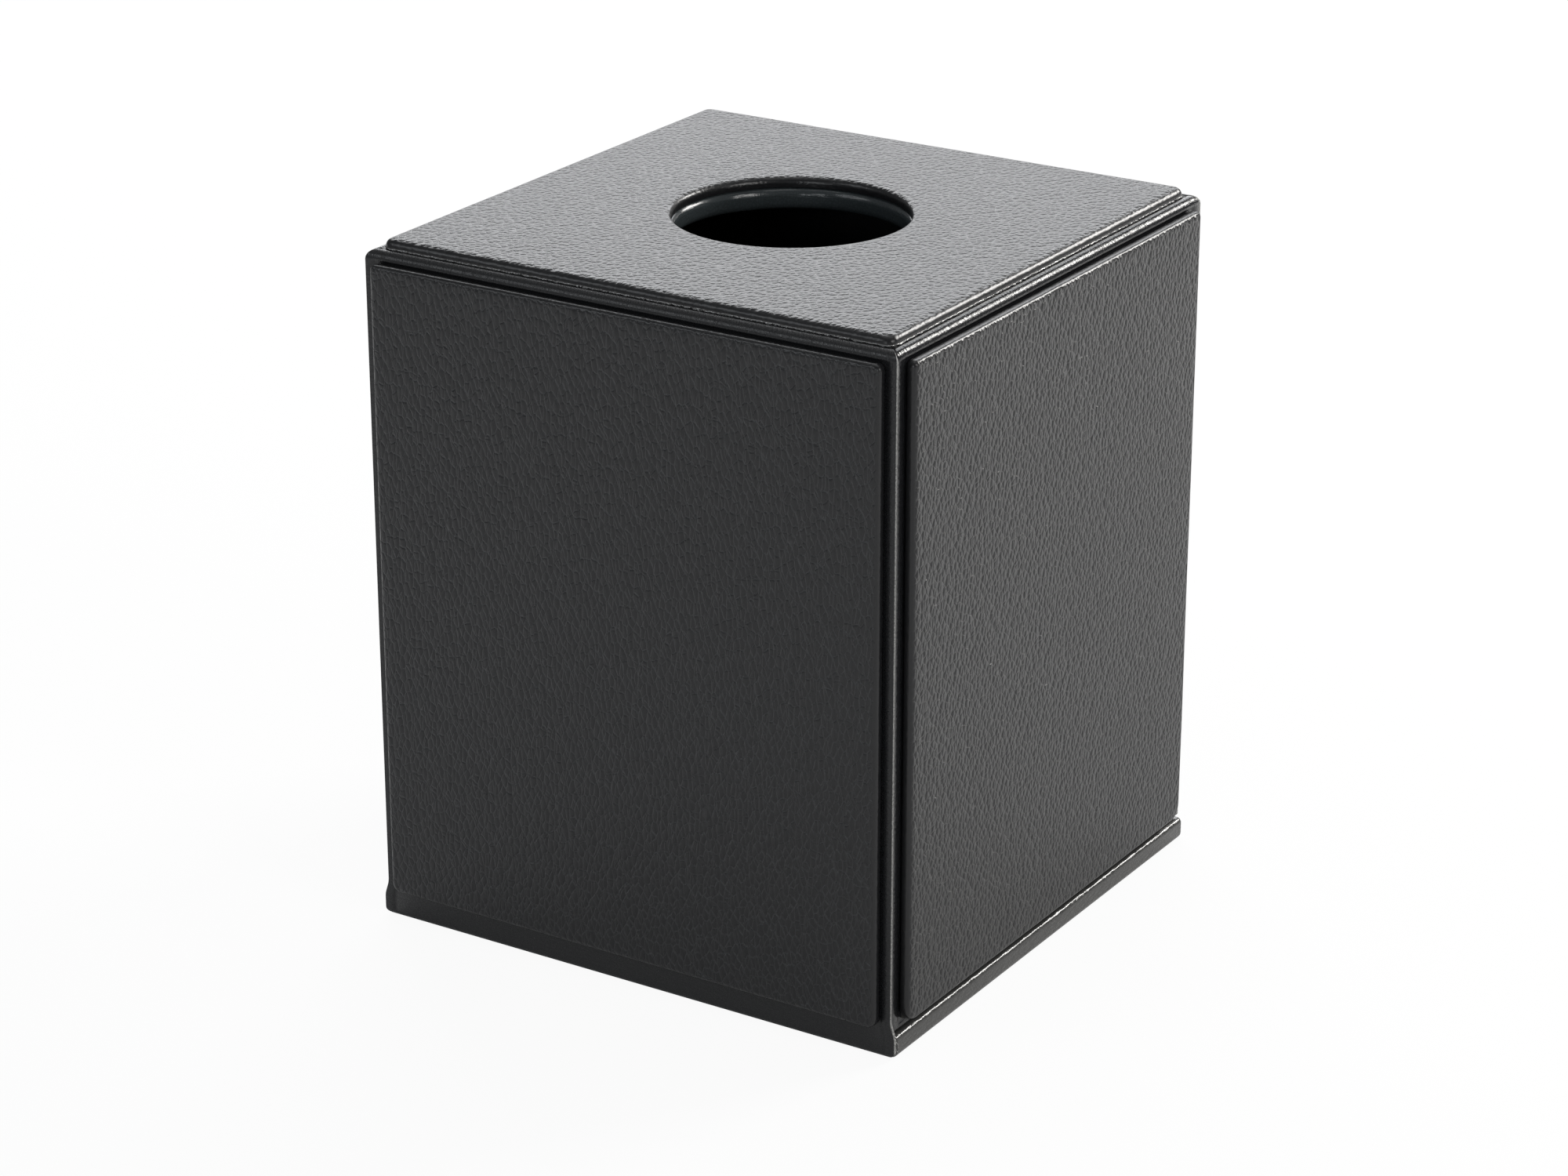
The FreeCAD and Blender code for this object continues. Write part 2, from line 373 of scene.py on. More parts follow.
def warped(tree, place, amount, scale):
    """Coordinates pushed about by a soft noise, so that a pattern isn't regular."""
    push = add(tree, "TexNoise", Vector=place, Scale=scale, Detail=2.0)
    centred = moved(tree, "SUBTRACT", push.outputs["Color"], (0.5, 0.5, 0.5))
    scaled = add(tree, "VectorMath", {"operation": "SCALE"}, i0=centred, Scale=amount)
    return moved(tree, "ADD", place, scaled.outputs[0])


def soft_noise(tree, place, cell, detail=2.0):
    """Soft noise from 0 to 1, with lumps of this size in millimetres."""
    level = add(tree, "TexNoise", Vector=stretched(tree, place, cell), Scale=1.0, Detail=detail)
    return level.outputs["Fac"]


def noise_level(tree, place, cell, detail=2.0):
    """Soft noise about zero, with lumps of this size in millimetres."""
    return worked_out(tree, "SUBTRACT", soft_noise(tree, place, cell, detail), 0.5)


def pebble_net(tree, place, feature, dimensions="3D", randomness=0.95):
    """Net of pebbles: distance from the creases between them or from their middles, in cells."""
    net = add(tree, "TexVoronoi", {"feature": feature, "voronoi_dimensions": dimensions},
              Vector=place, Scale=1.0, Randomness=randomness)
    return net.outputs["Distance"]


def coloured(tree, shader, share, low, high):
    """Colour the surface between two tones, by a share."""
    mix = add(tree, "Mix", {"data_type": "RGBA"}, i0=share, i6=(*low, 1), i7=(*high, 1))
    tree.links.new(mix.outputs[2], shader.inputs["Base Color"])


def bumped(tree, shader, height):
    """Press a pattern of heights in millimetres into the surface."""
    bump = add(tree, "Bump", Height=height, Distance=MM, Strength=1.0)
    tree.links.new(bump.outputs["Normal"], shader.inputs["Normal"])


LEATHER_IOR = 1.45
NOISE_RANGE = (0.3, 0.7)        # levels between which most of a soft noise lies

# Grain of the panels: widths in pebbles, heights and lumps in millimetres
LEATHER_BLACK = (0.0080, 0.0082, 0.0092)
BROAD_WARP = (0.50, 0.7)        # push of the net's bends, and how close they lie
FINE_WARP = (0.22, 2.6)
NET_DISORDER = 0.85
CREASE_WIDTH = 0.17
CREASE_LINE = 0.055             # middle of a crease, painted lighter as a painted highlight
DOME = (0.75, 0.05)             # foot and top of a pebble, from its middle
DOME_LEVELS = (-0.6, 0.4)       # and their levels
LONG_NET = (4.2, 3.6)           # width and height of the sparse net, in pebbles
LONG_TILT = 30
LONG_WARP = (0.7, 1.1)
LONG_WIDTH = 0.04
LONG_DEPTH = 0.6                # share of the other creases' depth
LONG_LINE = 0.35                # share of their painted highlight
LONG_LINE_END = -0.2            # level of a long crease at the edge of its painted highlight
FINE_LUMP = 0.40
FINE_HEIGHT = 0.010
WAVE_LUMP = 9.0
WAVE_HEIGHT = 0.05
WRINKLE_LUMP = 0.9              # plain leather stretched over the rolled rims
WRINKLE_HEIGHT = 0.09
RIM_FINE_HEIGHT = 0.012
BREAK_LUMP = 2.5                # stretches where the creases' painted highlight is faint
BREAK_LEVEL = 0.20
BREAK_LEAST = 0.40
RIM_CLEAR = 0.5                 # mark on the rim from which no crease gets a painted highlight
FACE_ROUGHNESS = 0.33
RIM_ROUGHNESS = 0.30


def grained_leather(name, axes, width, height, crease_depth, dome_depth, painted_crease_highlight):
    """Black leather with a net of fine creases between leaf-shaped pebbles, plain on rolled rims; the
    creases' middles carry a painted highlight.
    """
    finish, tree, shader, place = new_finish(name)
    rim = add(tree, "Attribute", {"attribute_name": "rim"}).outputs["Fac"]
    cells = warped(tree, diamonds(tree, place, axes, width, height), *BROAD_WARP)
    cells = warped(tree, cells, *FINE_WARP)
    from_edge = pebble_net(tree, cells, "DISTANCE_TO_EDGE", "2D", NET_DISORDER)
    from_middle = pebble_net(tree, cells, "SMOOTH_F1", "2D", NET_DISORDER)
    crease = ramp(tree, from_edge, 0.0, CREASE_WIDTH, -1.0, 0.0)
    dome = ramp(tree, from_middle, *DOME, *DOME_LEVELS)
    long_cells = diamonds(tree, place, axes, LONG_NET[0] * width, LONG_NET[1] * height, LONG_TILT)
    long_cells = warped(tree, long_cells, *LONG_WARP)
    from_long = pebble_net(tree, long_cells, "DISTANCE_TO_EDGE", "2D", 1.0)
    long_crease = ramp(tree, from_long, 0.0, LONG_WIDTH, -1.0, 0.0)
    fine = noise_level(tree, place, [FINE_LUMP] * 3)
    wave = noise_level(tree, place, [WAVE_LUMP] * 3)
    wrinkle = noise_level(tree, place, [WRINKLE_LUMP] * 3)
    pressed = summed(tree, (crease, crease_depth), (dome, dome_depth),
                     (long_crease, LONG_DEPTH * crease_depth), (fine, FINE_HEIGHT), (wave, WAVE_HEIGHT))
    rolled = summed(tree, (wrinkle, WRINKLE_HEIGHT), (fine, RIM_FINE_HEIGHT))
    bumped(tree, shader, mixed_value(tree, rim, pressed, rolled))
    # Painted highlight: crease middles coloured lighter than the leather, for the light that the creases
    # catch
    line = ramp(tree, from_edge, 0.0, CREASE_LINE, 1.0, 0.0)
    long_line = ramp(tree, long_crease, -1.0, LONG_LINE_END, LONG_LINE, 0.0)
    line = worked_out(tree, "MAXIMUM", line, long_line)
    breaks = noise_level(tree, place, [BREAK_LUMP] * 3)
    shown = ramp(tree, breaks, -BREAK_LEVEL, BREAK_LEVEL, BREAK_LEAST, 1.0)
    shown = worked_out(tree, "MULTIPLY", shown, ramp(tree, rim, 0.0, RIM_CLEAR, 1.0, 0.0))
    line = worked_out(tree, "MULTIPLY", line, shown)
    coloured(tree, shader, line, LEATHER_BLACK, painted_crease_highlight)
    roughness = ramp(tree, rim, 0.0, 1.0, FACE_ROUGHNESS, RIM_ROUGHNESS)
    tree.links.new(roughness, shader.inputs["Roughness"])
    shader.inputs["IOR"].default_value = LEATHER_IOR
    return finish


# Smooth edge leather, in millimetres
STRETCH_LENGTH = 4.0            # fine lines across the folds at the top of the core
STRETCH_WIDTH = 0.32
RUNGS = [2.0, 2.0, 0.6]         # and level ones on the upright edges below
STRETCH_HEIGHT = 0.10
TOP_FOLDS = (4.0, 2.4)          # depths below the core's top between which the lines change
SMOOTH_PEBBLE = [0.70, 0.70, 0.85]
SMOOTH_WARP = (0.6, 0.8)
SMOOTH_CREASE = 0.25
SMOOTH_HEIGHT = 0.010
CREASE_SHADE = 0.8


def smooth_leather(name, along, light=(0.0115, 0.0119, 0.0132), relief=1.0, gloss=(0.22, 0.14)):
    """Smooth black leather with fine stretch lines across its bends, which run along an axis, 0 to 2."""
    finish, tree, shader, place = new_finish(name)
    stretch = [STRETCH_LENGTH] * 3
    stretch[along] = STRETCH_WIDTH
    lines = noise_level(tree, place, stretch, 1.0)
    rungs = noise_level(tree, place, RUNGS, 1.0)
    level = add(tree, "SeparateXYZ", Vector=place).outputs["Z"]
    at_top = ramp(tree, level, *[(core_top - depth) * MM for depth in TOP_FOLDS])
    pebbles = warped(tree, stretched(tree, place, SMOOTH_PEBBLE), *SMOOTH_WARP)
    net = ramp(tree, pebble_net(tree, pebbles, "DISTANCE_TO_EDGE"), 0.0, SMOOTH_CREASE)
    height = summed(tree, (mixed_value(tree, at_top, rungs, lines), STRETCH_HEIGHT * relief),
                    (net, SMOOTH_HEIGHT * relief))
    bumped(tree, shader, height)
    # Painted shade: the pebble net's creases are coloured darker than the leather, by CREASE_SHADE
    coloured(tree, shader, net, [CREASE_SHADE * part for part in light], light)
    tree.links.new(ramp(tree, net, 0.0, 1.0, *gloss), shader.inputs["Roughness"])
    shader.inputs["IOR"].default_value = LEATHER_IOR
    return finish


def edge_dressing():
    """Glossy black edge dressing with fine uneven drops."""
    finish, tree, shader, place = new_finish("edge_dressing")
    drops = soft_noise(tree, place, cell=[0.5] * 3)
    coloured(tree, shader, drops, (0.010, 0.010, 0.010), (0.018, 0.018, 0.018))
    bumped(tree, shader, summed(tree, (drops, 0.30)))
    shader.inputs["Roughness"].default_value = 0.14
    shader.inputs["IOR"].default_value = 2.4
    return finish


def raw_edge():
    """Cut edge of the leather: paler fibre with a slight wax shine."""
    finish, tree, shader, place = new_finish("leather_cut_edge")
    fibre = soft_noise(tree, place, cell=[0.35] * 3, detail=4.0)
    share = ramp(tree, fibre, *NOISE_RANGE)
    coloured(tree, shader, share, (0.08, 0.08, 0.08), (0.36, 0.36, 0.35))
    bumped(tree, shader, summed(tree, (fibre, 0.08)))
    shader.inputs["Roughness"].default_value = 0.55
    return finish


def suede_lining():
    """Black napped lining with a soft sheen."""
    finish, tree, shader, place = new_finish("suede_lining")
    nap = soft_noise(tree, place, cell=[0.3] * 3, detail=4.0)
    brush = soft_noise(tree, place, cell=[14.0, 14.0, 9.0])
    share = ramp(tree, summed(tree, (nap, 0.6), (brush, 0.4)), *NOISE_RANGE)
    coloured(tree, shader, share, (0.008, 0.008, 0.009), (0.024, 0.024, 0.026))
    bumped(tree, shader, summed(tree, (nap, 0.12)))
    shader.inputs["Roughness"].default_value = 0.95
    shader.inputs["IOR"].default_value = 1.35
    shader.inputs["Sheen Weight"].default_value = 0.25
    shader.inputs["Sheen Roughness"].default_value = 0.5
    return finish


def black_board():
    """Dyed pressed board with short fibres."""
    finish, tree, shader, place = new_finish("black_board")
    fibre = soft_noise(tree, place, cell=[0.5, 1.6, 0.5], detail=5.0)
    share = ramp(tree, fibre, *NOISE_RANGE)
    coloured(tree, shader, share, (0.012, 0.012, 0.012), (0.04, 0.039, 0.037))
    bumped(tree, shader, summed(tree, (fibre, 0.08)))
    shader.inputs["Roughness"].default_value = 0.9
    return finish


def nickel():
    """Plated magnet with faint tumbling marks."""
    finish, tree, shader, place = new_finish("nickel_plate")
    marks = soft_noise(tree, place, cell=[0.8] * 3, detail=5.0)
    shader.inputs["Base Color"].default_value = (0.60, 0.58, 0.54, 1)
    shader.inputs["Metallic"].default_value = 1.0
    roughness = ramp(tree, marks, *NOISE_RANGE, 0.22, 0.42)
    tree.links.new(roughness, shader.inputs["Roughness"])
    bumped(tree, shader, summed(tree, (marks, 0.02)))
    return finish


# Finishes of this cover
# Crease tones are a painted highlight set per face as the light falls: lightest on the side panels, near
# black on top
front_grain = grained_leather("front_back_panel_grain", "XZ", width=1.7, height=3.4, crease_depth=0.10,
                              dome_depth=0.10, painted_crease_highlight=(0.038, 0.040, 0.043))
side_grain = grained_leather("left_right_panel_grain", "YZ", width=1.7, height=2.4, crease_depth=0.11,
                             dome_depth=0.21, painted_crease_highlight=(0.100, 0.100, 0.096))
top_grain = grained_leather("top_panel_grain", "XY", width=1.6, height=2.0, crease_depth=0.06,
                            dome_depth=0.22, painted_crease_highlight=(0.012, 0.012, 0.013))
edge_leather = {
    "front": smooth_leather("edge_leather_front_back", 0, gloss=(0.36, 0.27)),
    "right": smooth_leather("edge_leather_left_right", 1),
}
edge_leather["back"] = edge_leather["front"]
edge_leather["left"] = edge_leather["right"]
# Painted light: the base's edge leather is a lighter copy of the edge leather, standing in for the light
# its side catches
base_edge_leather_painted_lighter = smooth_leather("base_edge_leather_painted_lighter", 1, light=(0.060, 0.060, 0.058))
# Partly own teal-grey tone, partly painted light: the collar is coloured lighter to stand in for light
# reaching into the hole
collar_leather_painted_lighter = smooth_leather("hole_collar_leather", 2, light=(0.034, 0.041, 0.044), relief=0.5)
dressing = edge_dressing()
cut_edge = raw_edge()
suede = suede_lining()
board_black = black_board()
plate = nickel()


# Raised panels

def crowned(bm, half, depth):
    """Swell the face of a flat-lying slab a little towards the middle, with slight unevenness."""
    for vert in bm.verts:
        across = min(1.0, abs(vert.co.x) / half.x)
        up = min(1.0, abs(vert.co.y) / half.y)
        lift = max(0.0, vert.co.z / depth) ** 2
        swell = PANEL_CROWN * ((1 - across ** 4) * (1 - up ** 4) - 1)
        lump = noise.noise(Vector((vert.co.x, vert.co.y, half.x + half.y)) / UNEVEN_LUMP)
        vert.co.z += lift * (swell + PANEL_UNEVEN * lump)


def marked_rim(bm, depth, roll):
    """Mark the rolled rim of a flat-lying slab, for its finish: 0 on the face, 1 on the side."""
    layer = bm.verts.layers.float.new("rim")
    start, end = RIM_MARK
    for vert in bm.verts:
        vert[layer] = smooth_step(start, end * roll, depth - vert.co.z)


def padded_slab(half, depth, lower_corner):
    """Padded slab lying flat, its face at depth, with a rolled rim and a recess for its board."""
    bm = bmesh.new()
    bmesh.ops.create_grid(bm, x_segments=round(2 * half.x / PANEL_MESH),
                          y_segments=round(2 * half.y / PANEL_MESH), size=1.0)
    bmesh.ops.scale(bm, vec=(half.x, half.y, 1), verts=bm.verts)
    bmesh.ops.translate(bm, vec=(0, 0, depth), verts=bm.verts)
    corners = [v for v in bm.verts if len(v.link_edges) == 2]
    rounded_corners(bm, [v for v in corners if v.co.y > 0], UPPER_CORNER, 5)
    rounded_corners(bm, [v for v in corners if v.is_valid and v.co.y < 0], lower_corner, 6)
    rim = open_edges(bm)
    drawn_out(bm, rim, lambda co: Vector((co.x, co.y, 0)))
    rounded(bm, rim, PANEL_ROLL, 6)
    back = bmesh.ops.contextual_create(bm, geom=open_edges(bm))["faces"][0]
    bmesh.ops.recalc_face_normals(bm, faces=bm.faces)
    rounded(bm, list(back.edges), PANEL_TUCK, 3)
    behind = [face for face in bm.faces if face.calc_center_median().z < ON_FACE]
    back = max(behind, key=lambda face: face.calc_area())
    bmesh.ops.inset_individual(bm, faces=[back], thickness=leather - PANEL_TUCK)
    bmesh.ops.inset_individual(bm, faces=[back], thickness=RECESS_TAPER, depth=-panel_board)
    marked_rim(bm, depth, PANEL_ROLL)
    crowned(bm, half, depth)
    return bm


def side_panel(side):
    """Grained panel on one wall, standing for the panel's leather and pad."""
    low, high = box_mm(side + "_panel_leather")
    size = high - low
    width, depth = (size.x, size.y) if side in FRONT_AND_BACK else (size.y, size.x)
    bm = padded_slab(Vector((width / 2, size.z / 2)), depth, LOWER_CORNER[side])
    upright = Matrix.Rotation(math.radians(90), 4, "X")
    stand = Matrix.Translation((0, -half_core, (low.z + high.z) / 2)) @ upright
    turn = Matrix.Rotation(math.radians(SIDES[side]), 4, "Z")
    bmesh.ops.transform(bm, matrix=turn @ stand, verts=bm.verts)
    grain = front_grain if side in FRONT_AND_BACK else side_grain
    panel = made_piece(bm, side + "_panel", [grain])
    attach(panel, "box")
    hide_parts(side + "_panel_leather", side + "_panel_pad")


def top_panel():
    """Grained top panel rolled over its rim and into the hole, with a recess for its board."""
    depth = top_high.z - top_low.z
    half = top_high.x
    bm = square_ring(half, TOP_CORNER, HOLE_RADIUS, cuts=60, rings=14)
    bmesh.ops.translate(bm, vec=(0, 0, depth), verts=bm.verts)
    rim = open_edges(bm)
    between = (half + HOLE_RADIUS) / 2
    outer = [e for e in rim if e.verts[0].co.xy.length > between]
    inner = [e for e in rim if e.verts[0].co.xy.length < between]
    drawn_out(bm, rim, lambda co: Vector((co.x, co.y, 0)))
    rounded(bm, outer, TOP_ROLL, 8)
    rounded(bm, [e for e in inner if e.is_valid], HOLE_ROLL, 6)
    bmesh.ops.bridge_loops(bm, edges=open_edges(bm))
    bmesh.ops.recalc_face_normals(bm, faces=bm.faces)
    back = [f for f in bm.faces if f.normal.z < -STRAIGHT]
    bmesh.ops.inset_region(bm, faces=back, thickness=leather, use_even_offset=True)
    bmesh.ops.inset_region(bm, faces=back, thickness=RECESS_TAPER, depth=-panel_board,
                           use_even_offset=True)
    marked_rim(bm, depth, TOP_ROLL)
    crowned(bm, Vector((half, half)), depth)
    bmesh.ops.translate(bm, vec=(0, 0, core_top), verts=bm.verts)
    panel = made_piece(bm, "top_panel", [top_grain])
    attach(panel, "box")
    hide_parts("top_panel_leather", "top_panel_pad")


def foot_bead():
    """Thin bead of edge dressing where the top panel meets the core, uneven enough to glint."""
    half = top_high.x
    straight = half - TOP_CORNER
    bm = rounded_square(half, TOP_CORNER, BEAD_CUTS)
    bmesh.ops.translate(bm, vec=(0, 0, core_top - BEAD_SEAT), verts=bm.verts)

    def next_point(co, out, up):
        """Point of the bead's next row, further out where a drop has run."""
        inner = Vector((held_in(co.x, -straight, straight), held_in(co.y, -straight, straight), co.z))
        away = (co - inner).normalized()
        share = BEAD_SHARE + BEAD_SWING * noise.noise(Vector((co.x, co.y, 0)) / BEAD_DROP)
        return co + away * out * share + Vector((0, 0, up))

    edges = bm.edges[:]
    for (from_out, from_up), (out, up) in zip([(0.0, 0.0)] + BEAD_OUTLINE, BEAD_OUTLINE):
        edges = drawn_out(bm, edges, lambda co: next_point(co, out - from_out, up - from_up))
    bead = made_piece(bm, "top_panel_edge_bead", [dressing])
    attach(bead, "box")


# Core leather, drawn as the front wall's and turned to its side

def groove(beside):
    """Depth that the leather is pressed in, at this distance outside a panel's edge."""
    return GROOVE * smooth_step(*GROOVE_FALL, beside) * (1 - smooth_step(*GROOVE_RISE, beside))


def settled(bm, panel_half, panel_low, panel_high):
    """Press the leather in beside the wall's own panel and the top panel."""
    for vert in bm.verts:
        co = vert.co
        if co.y < ON_FACE - half_core:
            co.y += groove(max(abs(co.x) - panel_half, co.z - panel_high, panel_low - co.z))
        elif co.z > core_top - ON_FACE:
            co.z -= groove(-co.y - top_high.x)


def mitred(bm, short, width, drop):
    """Cut both ends on the corner mitres, this much short of them, and bend the ends to the core."""
    for turn in (-1, 1):
        mitre = (turn, 1, 0)
        cut(bm, (0, -short, 0), mitre, take_off=True)
        for share in END_CUTS:
            cut(bm, (0, -short - share * width, 0), mitre)
    bmesh.ops.recalc_face_normals(bm, faces=bm.faces)
    bm.normal_update()
    for vert in bm.verts:
        from_end = -vert.co.y - short - abs(vert.co.x)
        bend = max(0.0, 1 - from_end / width)
        vert.co -= vert.normal * drop * (1 - math.sqrt(max(0.0, 1 - bend * bend)))


def wall_skin(side, corners, rounds):
    """Leather of one wall, from its outline in depth and height and the radius at each point."""
    bm = bmesh.new()
    points = [bm.verts.new((-half_core, y, z)) for y, z in corners]
    for first, second in zip(points, points[1:]):
        bm.edges.new((first, second))
    for point, radius in zip(points, rounds):
        if radius:
            rounded_corners(bm, [point], radius, 6)
    drawn_out(bm, bm.edges[:], lambda co: Vector((half_core, co.y, co.z)))
    low, high = box_mm(side + "_panel_leather")
    panel_half = (high.x - low.x) / 2 if side in FRONT_AND_BACK else (high.y - low.y) / 2
    cuts = steps_between(-panel_half + WALL_MARGIN, panel_half - WALL_MARGIN, WALL_MESH)
    cuts += [turn * (panel_half + place) for turn in (-1, 1) for place in GROOVE_CUTS]
    sliced(bm, ACROSS, cuts)
    cuts = steps_between(low.z + FOOT_MARGIN, high.z - WALL_MARGIN, WALL_MESH)
    cuts += [high.z + place for place in GROOVE_CUTS] + [low.z - place for place in GROOVE_CUTS]
    sliced(bm, UP, cuts)
    sliced(bm, DEEP, [-top_high.x - place for place in GROOVE_CUTS])
    settled(bm, panel_half, -half_core if side == "front" else low.z, high.z)
    return bm


def wall_leather(side):
    """Covering of one of the three free walls, turned under its foot and up inside."""
    corners = [(-inside, hem_top), (-inside, wall_bottom), (-half_core, wall_bottom),
               (-half_core, core_top), (-fold_edge, core_top)]
    bm = wall_skin(side, corners, [0, HEM_ROUND, HEM_ROUND, CORE_ROUND, 0])
    if side == "back":
        mitred(bm, 0.0, *FLAT_END)
    else:
        mitred(bm, SEAM_SHOWN, *SIDE_END)
    turn = Matrix.Rotation(math.radians(SIDES[side]), 3, "Z")
    bmesh.ops.rotate(bm, cent=(0, 0, 0), matrix=turn, verts=bm.verts)
    cover = leather_piece(bm, side + "_wall_cover", edge_leather[side])
    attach(cover, "box")
    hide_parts(side + "_wall_leather")


def front_leather():
    """Covering of the front wall, running on below it as the hinge and round the base's front edge."""
    corners = [(-half_core + STRIP_LAP, base_low.z), (-half_core, base_low.z),
               (-half_core, core_top), (-fold_edge, core_top)]
    bm = wall_skin("front", corners, [0, BASE_EDGE, CORE_ROUND, 0])
    mitred(bm, 0.0, *FLAT_END)
    sliced(bm, UP, STRIP_CUTS)
    flare = base_high.x - half_core
    for vert in bm.verts:
        spread = flare * (1 - smooth_step(*STRIP_FLARE, vert.co.z))
        below = max(0.0, 1 - vert.co.z / STRIP_ROUND)
        spread -= STRIP_ROUND * (1 - math.sqrt(1 - min(1.0, below * below)))
        vert.co.x *= 1 + spread / half_core
    cover = leather_piece(bm, "front_wall_and_hinge_cover", edge_leather["front"])
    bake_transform(cover)
    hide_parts("front_wall_leather", "hinge_leather")


# Hole collar

def hole_collar():
    """Leather ring bent over both faces of the top board, lining the hole."""
    rim = collar_high.x
    bm = bmesh.new()
    corners = [(rim, collar_high.z), (COLLAR_BORE, collar_high.z),
               (COLLAR_BORE, collar_low.z), (rim, collar_low.z)]
    points = [bm.verts.new((x, 0, z)) for x, z in corners]
    for start, end in zip(points, points[1:]):
        bm.edges.new((start, end))
    rounded_corners(bm, points[1:3], COLLAR_BEND, 5)
    bmesh.ops.spin(bm, geom=bm.verts[:] + bm.edges[:], cent=(0, 0, 0), axis=(0, 0, 1),
                   angle=math.radians(360), steps=COLLAR_STEPS, use_merge=True)
    bmesh.ops.remove_doubles(bm, verts=bm.verts, dist=MERGE)
    for vert in bm.verts:
        angle = math.atan2(vert.co.y, vert.co.x)
        spot = Vector((math.cos(angle), math.sin(angle), vert.co.z / RUFFLE_HEIGHT))
        vert.co.xy *= 1 + COLLAR_RUFFLE * noise.noise(spot * RUFFLE_PITCH)
    collar = leather_piece(bm, "hole_collar_ring", collar_leather_painted_lighter)
    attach(collar, "box")
    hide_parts("hole_collar")


# Base flap

def base_cover():
    """Leather round the base, turned in on top, open in front where the hinge strip covers it."""
    bm = block(base_low, base_high)
    rounded(bm, upright_edges(bm), BASE_CORNER, 6)
    rounded(bm, edges_at_height(bm, base_low.z) + edges_at_height(bm, base_high.z), BASE_EDGE, 5)
    top = [f for f in bm.faces if f.normal.z > STRAIGHT]
    bmesh.ops.delete(bm, geom=top, context="FACES")
    open_top = [e for e in edges_at_height(bm, base_high.z) if e.is_boundary]
    low, high = base_lining_low, base_lining_high

    def reach(co):
        """Point on the lining's edge nearest to this one, where the turned-in leather ends."""
        return Vector((held_in(co.x, low.x, high.x), held_in(co.y, low.y, high.y), base_high.z))

    drawn_out(bm, open_top, reach)
    cut(bm, (0, base_low.y + BASE_OPENING, 0), (0, -1, 0), take_off=True)
    cover = leather_piece(bm, "base_cover", base_edge_leather_painted_lighter)
    even = cover.modifiers.new("flat_faces_even", "WEIGHTED_NORMAL")
    even.keep_sharp = True
    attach(cover, "base")
    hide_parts("base_leather")


def hinge_loop(side, turn):
    """Open end of the hinge strip's fold at a base corner: a small almond of cut leather, dark inside."""
    bm = bmesh.new()
    bmesh.ops.create_circle(bm, cap_ends=True, segments=28, radius=1.0)
    ring = bm.faces[:]
    bmesh.ops.inset_individual(bm, faces=ring, thickness=FOLD_LIP)
    hollow = bmesh.ops.inset_individual(bm, faces=ring, thickness=FOLD_HOLLOW_TAPER,
                                        depth=-FOLD_HOLLOW)["faces"]
    for face in ring + hollow:
        face.material_index = 1
    drawn_out(bm, open_edges(bm), lambda co: Vector((co.x, co.y, -FOLD_DEPTH)))
    pinch, power = FOLD_PINCH
    for vert in bm.verts:
        vert.co.x *= FOLD_WIDTH * (1 - pinch * abs(vert.co.y) ** power)
        vert.co.y *= FOLD_HEIGHT
        vert.co.x += FOLD_LEAN * vert.co.y
    bmesh.ops.recalc_face_normals(bm, faces=bm.faces)
    stand = Matrix(((0, 0, turn, 0), (-1, 0, 0, 0), (0, 1, 0, 0), (0, 0, 0, 1)))
    middle = (turn * (base_high.x + FOLD_PROUD), base_low.y + FOLD_FROM_FRONT, FOLD_MIDDLE)
    place = Matrix.Translation(middle)
    bmesh.ops.transform(bm, matrix=place @ stand, verts=bm.verts)
    finishes = [cut_edge, edge_leather["right"]]
    loop = made_piece(bm, "hinge_fold_end_" + side, finishes)
    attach(loop, "base")


# Linings

def lining_sheet(name, low, high, body, node):
    """Soft lining sheet with eased edges."""
    bm = block(low, high)
    rounded(bm, bm.edges[:], LINING_EDGE, 2)
    for axis, direction in enumerate((ACROSS, DEEP, UP)):
        if high[axis] - low[axis] > LINING_MESH:
            sliced(bm, direction, steps_between(low[axis], high[axis], LINING_MESH))
    lining = made_piece(bm, name, [suede], crease=15)
    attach(lining, body)
    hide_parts(node)


def top_lining():
    """Ceiling lining with its round hole."""
    low, high = box_mm("top_lining")
    bm = square_ring(high.x, CEILING_CORNER, collar_high.x, cuts=20, rings=3)
    bmesh.ops.translate(bm, vec=(0, 0, low.z), verts=bm.verts)
    drawn = bmesh.ops.extrude_face_region(bm, geom=bm.faces[:])["geom"]
    lifted = [item for item in drawn if isinstance(item, bmesh.types.BMVert)]
    bmesh.ops.translate(bm, vec=(0, 0, high.z - low.z), verts=lifted)
    lining = made_piece(bm, "top_lining_sheet", [suede])
    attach(lining, "box")
    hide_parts("top_lining")


def dressed_node(name, finish):
    """Give a CAD piece its finish."""
    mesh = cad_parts[name].data
    mesh.materials.clear()
    mesh.materials.append(finish)


# The whole cover
for side in SIDES:
    side_panel(side)
top_panel()
for side in ("right", "back", "left"):
    wall_leather(side)
front_leather()
hole_collar()
base_cover()
hinge_loop("right", 1)
hinge_loop("left", -1)
foot_bead()
for side in SIDES:
    node = side + "_wall_lining"
    lining_sheet(node + "_sheet", *box_mm(node), "box", node)
top_lining()
lining_sheet("base_lining_sheet", *box_mm("base_lining"), "base", "base_lining")
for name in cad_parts:
    if name.endswith("board") or name == "top_infill_card":
        dressed_node(name, board_black)
    elif name.endswith("magnets"):
        dressed_node(name, plate)


# Studio, in metres
FLOOR_HALF = 6.0
FLOOR_DROP = 0.1 * MM           # floor kept clear of the base's underside
FLOOR_WHITE = 0.93              # share of plain white in what the camera sees of the floor
FLOOR_MIRRORED = 0.12           # and in what glossy leather mirrors of it
ROOM_LIGHT = 0.18
LIGHT_AIM = Vector((0, 0, 0.10))
CAMERA_PLACE = (0.4508, -0.7188, 0.4039)
CAMERA_TURN = 32.20             # degrees to the right of the front
CAMERA_DIP = 21.60              # degrees below level
CAMERA_LENS = 97.47             # millimetres, on a film 36 wide
FILM_WIDTH = 36.0


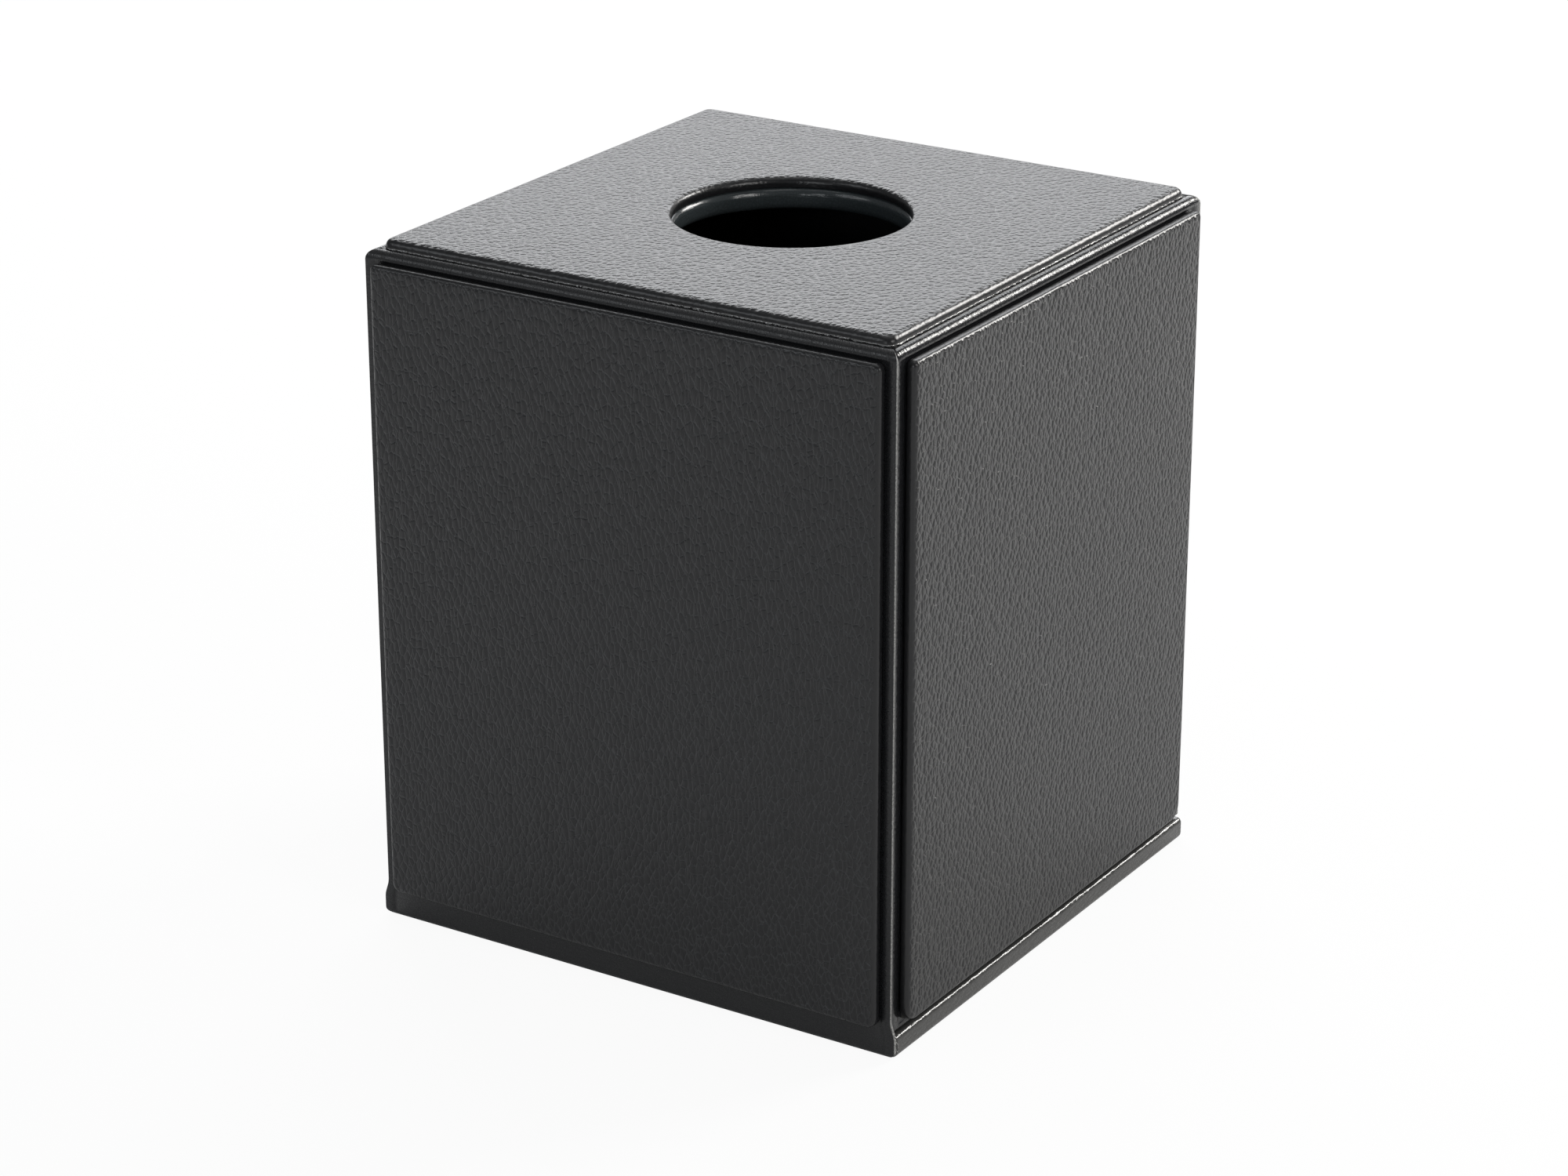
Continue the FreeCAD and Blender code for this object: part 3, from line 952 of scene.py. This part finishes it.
def white_floor():
    """Plain pale floor that stays white in view and keeps a soft shadow."""
    bm = bmesh.new()
    bmesh.ops.create_grid(bm, x_segments=1, y_segments=1, size=FLOOR_HALF)
    bmesh.ops.translate(bm, vec=(0, 0, -FLOOR_DROP), verts=bm.verts)
    mesh = bpy.data.meshes.new("floor")
    bm.to_mesh(mesh)
    bm.free()
    floor = bpy.data.objects.new("floor", mesh)
    bpy.context.scene.collection.objects.link(floor)
    paint = bpy.data.materials.new("white_floor")
    paint.use_nodes = True
    tree = paint.node_tree
    tree.nodes.clear()
    matt = add(tree, "BsdfDiffuse", Color=(0.86, 0.86, 0.86, 1))
    glow = add(tree, "Emission", Color=(1, 1, 1, 1), Strength=1.0)
    path = add(tree, "LightPath")
    seen = worked_out(tree, "MAXIMUM", path.outputs["Is Camera Ray"], path.outputs["Is Transmission Ray"])
    share = summed(tree, (seen, FLOOR_WHITE), (path.outputs["Is Glossy Ray"], FLOOR_MIRRORED))
    mix = add(tree, "MixShader", i0=share, i1=matt.outputs[0], i2=glow.outputs[0])
    output = add(tree, "OutputMaterial")
    tree.links.new(mix.outputs[0], output.inputs["Surface"])
    mesh.materials.append(paint)


def softbox(name, place, size, radiance, tint=(1, 1, 1)):
    """Rectangular soft light of an even brightness, turned to the object."""
    width, height = size
    lamp = bpy.data.lights.new(name, "AREA")
    lamp.color = tint
    lamp.shape = "RECTANGLE"
    lamp.size = width
    lamp.size_y = height
    lamp.energy = radiance * math.pi * width * height
    light = bpy.data.objects.new(name, lamp)
    light.location = place
    light.rotation_euler = (LIGHT_AIM - Vector(place)).to_track_quat("-Z", "Y").to_euler()
    light.visible_camera = False
    bpy.context.scene.collection.objects.link(light)


def lights():
    """Broad soft light and a key from behind, with fills from the front, the right and above."""
    softbox("back_left_softbox", (-0.90, 1.46, 0.98), size=(1.7, 1.4), radiance=3.5, tint=(0.97, 0.98, 1.0))
    softbox("back_right_key", (0.66, 1.34, 0.86), size=(0.55, 0.45), radiance=25.0, tint=(1.0, 0.98, 0.95))
    softbox("right_fill", (1.50, -0.30, 0.80), size=(0.6, 0.6), radiance=7.0, tint=(1.0, 0.99, 0.97))
    softbox("front_left_fill", (-0.85, -1.20, 0.95), size=(0.8, 0.5), radiance=2.5, tint=(0.94, 0.97, 1.0))
    softbox("front_fill", (0.30, -1.60, 0.42), size=(0.6, 0.5), radiance=3.2, tint=(0.94, 0.98, 1.0))
    softbox("overhead_softbox", (0.0, 0.1, 2.1), size=(1.8, 1.8), radiance=0.9)


def room():
    """Dim room round the object, white where the camera looks into it."""
    world = bpy.data.worlds.new("room")
    world.use_nodes = True
    tree = world.node_tree
    tree.nodes.clear()
    dim = add(tree, "Background", Color=(0.96, 0.98, 1.0, 1), Strength=ROOM_LIGHT)
    white = add(tree, "Background", Color=(1, 1, 1, 1), Strength=1.0)
    seen = add(tree, "LightPath").outputs["Is Camera Ray"]
    mix = add(tree, "MixShader", i0=seen, i1=dim.outputs[0], i2=white.outputs[0])
    output = add(tree, "OutputWorld")
    tree.links.new(mix.outputs[0], output.inputs["Surface"])
    bpy.context.scene.world = world


def camera():
    """Camera at the photograph's angle."""
    lens = bpy.data.cameras.new("camera")
    lens.sensor_width = FILM_WIDTH
    lens.lens = CAMERA_LENS
    lens.clip_start = 0.01
    lens.clip_end = 20.0
    stand = bpy.data.objects.new("camera", lens)
    stand.location = CAMERA_PLACE
    stand.rotation_euler = (math.radians(90 - CAMERA_DIP), 0, math.radians(CAMERA_TURN))
    bpy.context.scene.collection.objects.link(stand)
    bpy.context.scene.camera = stand


white_floor()
lights()
room()
camera()
bpy.context.scene.view_settings.view_transform = "Standard"

bpy.context.view_layer.update()
